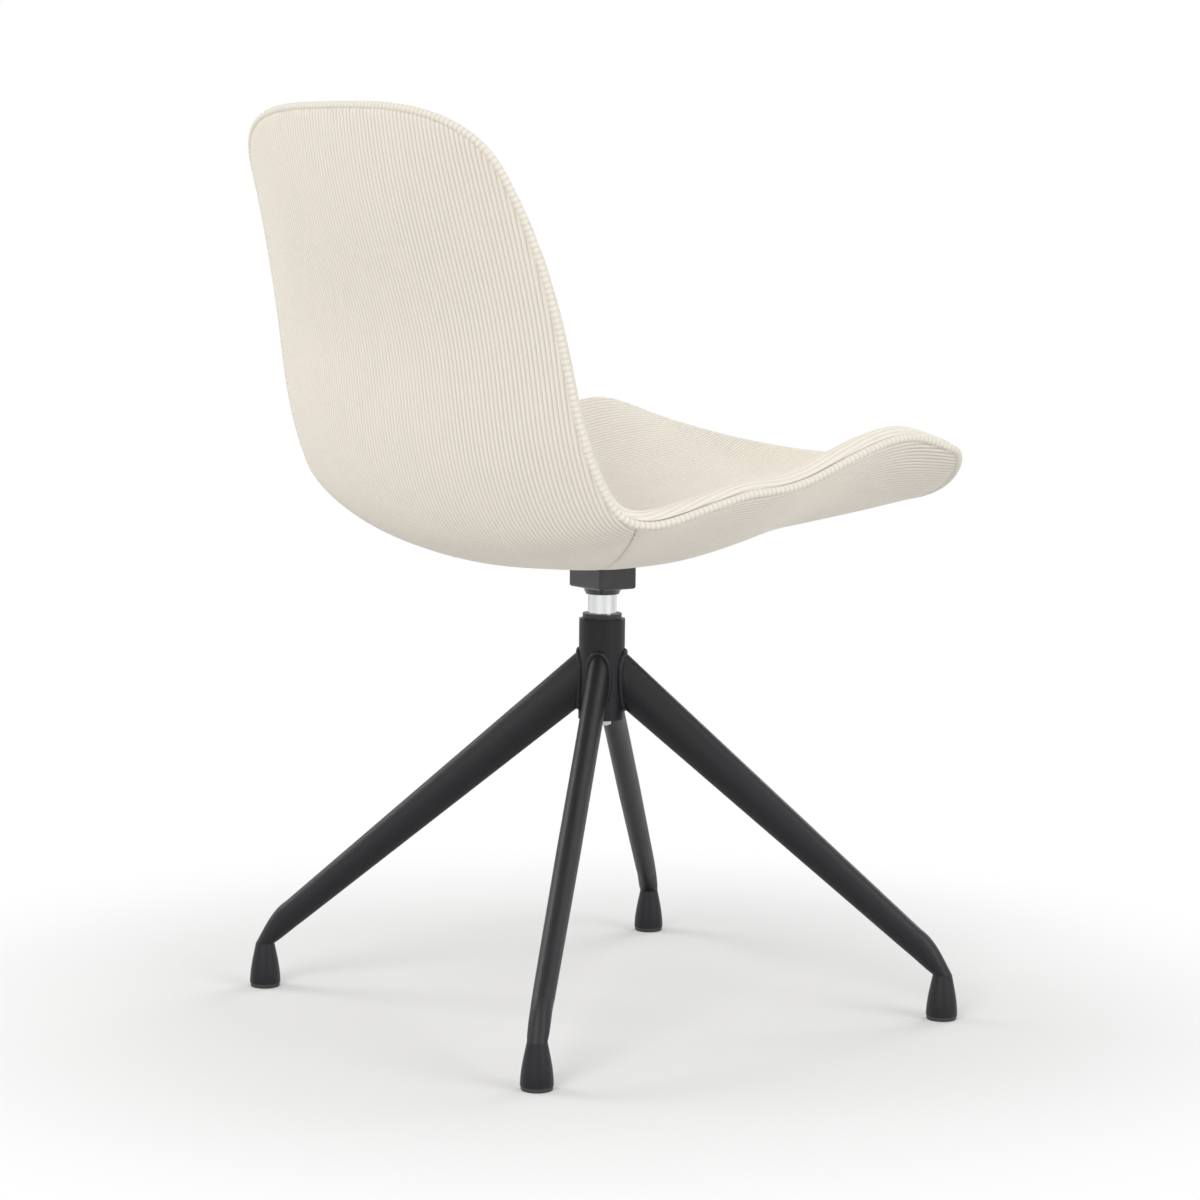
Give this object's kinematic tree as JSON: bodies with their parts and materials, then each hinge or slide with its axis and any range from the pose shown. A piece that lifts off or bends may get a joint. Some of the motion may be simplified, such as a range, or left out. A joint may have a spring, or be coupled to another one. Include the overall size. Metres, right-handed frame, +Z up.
{
  "type": "swivel dining chair",
  "caption": "Upholstered bucket-seat dining chair with piped edges that swivels on a black steel base with splayed legs.",
  "frame": {"origin": "on the floor under the middle of the whole chair; the swivel axis stands 10 mm in front of it", "axes": "+Z up along the swivel axis, -Y towards the front of the seat, +X to the sitter's left"},
  "size_m": [0.5148, 0.5727, 0.8262],
  "materials": {
    "powder_coated_steel": "fine textured black powder coat, satin",
    "chromed_steel": "polished chrome plating",
    "zinc_plated_steel": "bright zinc plating",
    "black_gloss_plastic": "smooth gloss black moulding",
    "black_matte_plastic": "matte black moulding",
    "bearing_plastic": "smooth black acetal",
    "shell_plastic": "black moulded shell",
    "cream_wide_rib_fabric": "cream wide-wale corduroy",
    "cream_seat_fabric": "cream fabric over foam"
  },
  "bodies": {
    "base": {"leg_front_left": "powder_coated_steel", "leg_front_right": "powder_coated_steel", "leg_back_left": "powder_coated_steel", "leg_back_right": "powder_coated_steel", "hub_tube": "powder_coated_steel", "hub_floor": "powder_coated_steel", "leg_welds": "powder_coated_steel", "foot_glides": "black_matte_plastic", "upper_bush": "bearing_plastic", "lower_bush": "bearing_plastic", "thrust_washer": "bearing_plastic"},
    "seat": {"swivel_post": "chromed_steel", "retaining_screw": "zinc_plated_steel", "retaining_washer": "zinc_plated_steel", "swivel_head": "black_gloss_plastic", "backing_plate": "zinc_plated_steel", "fixing_screws": "zinc_plated_steel", "fixing_washers": "zinc_plated_steel", "shell_core": "shell_plastic", "seat_pad": "cream_seat_fabric", "back_cover": "cream_wide_rib_fabric", "under_cover": "cream_wide_rib_fabric", "edge_piping": "cream_wide_rib_fabric"}
  },
  "joints": [
    {"name": "seat_swivel", "type": "hinge", "parent": "base", "child": "seat", "pos_m": [0, -0.01, 0.361], "axis": [0, 0, 1], "continuous": true}
  ]
}
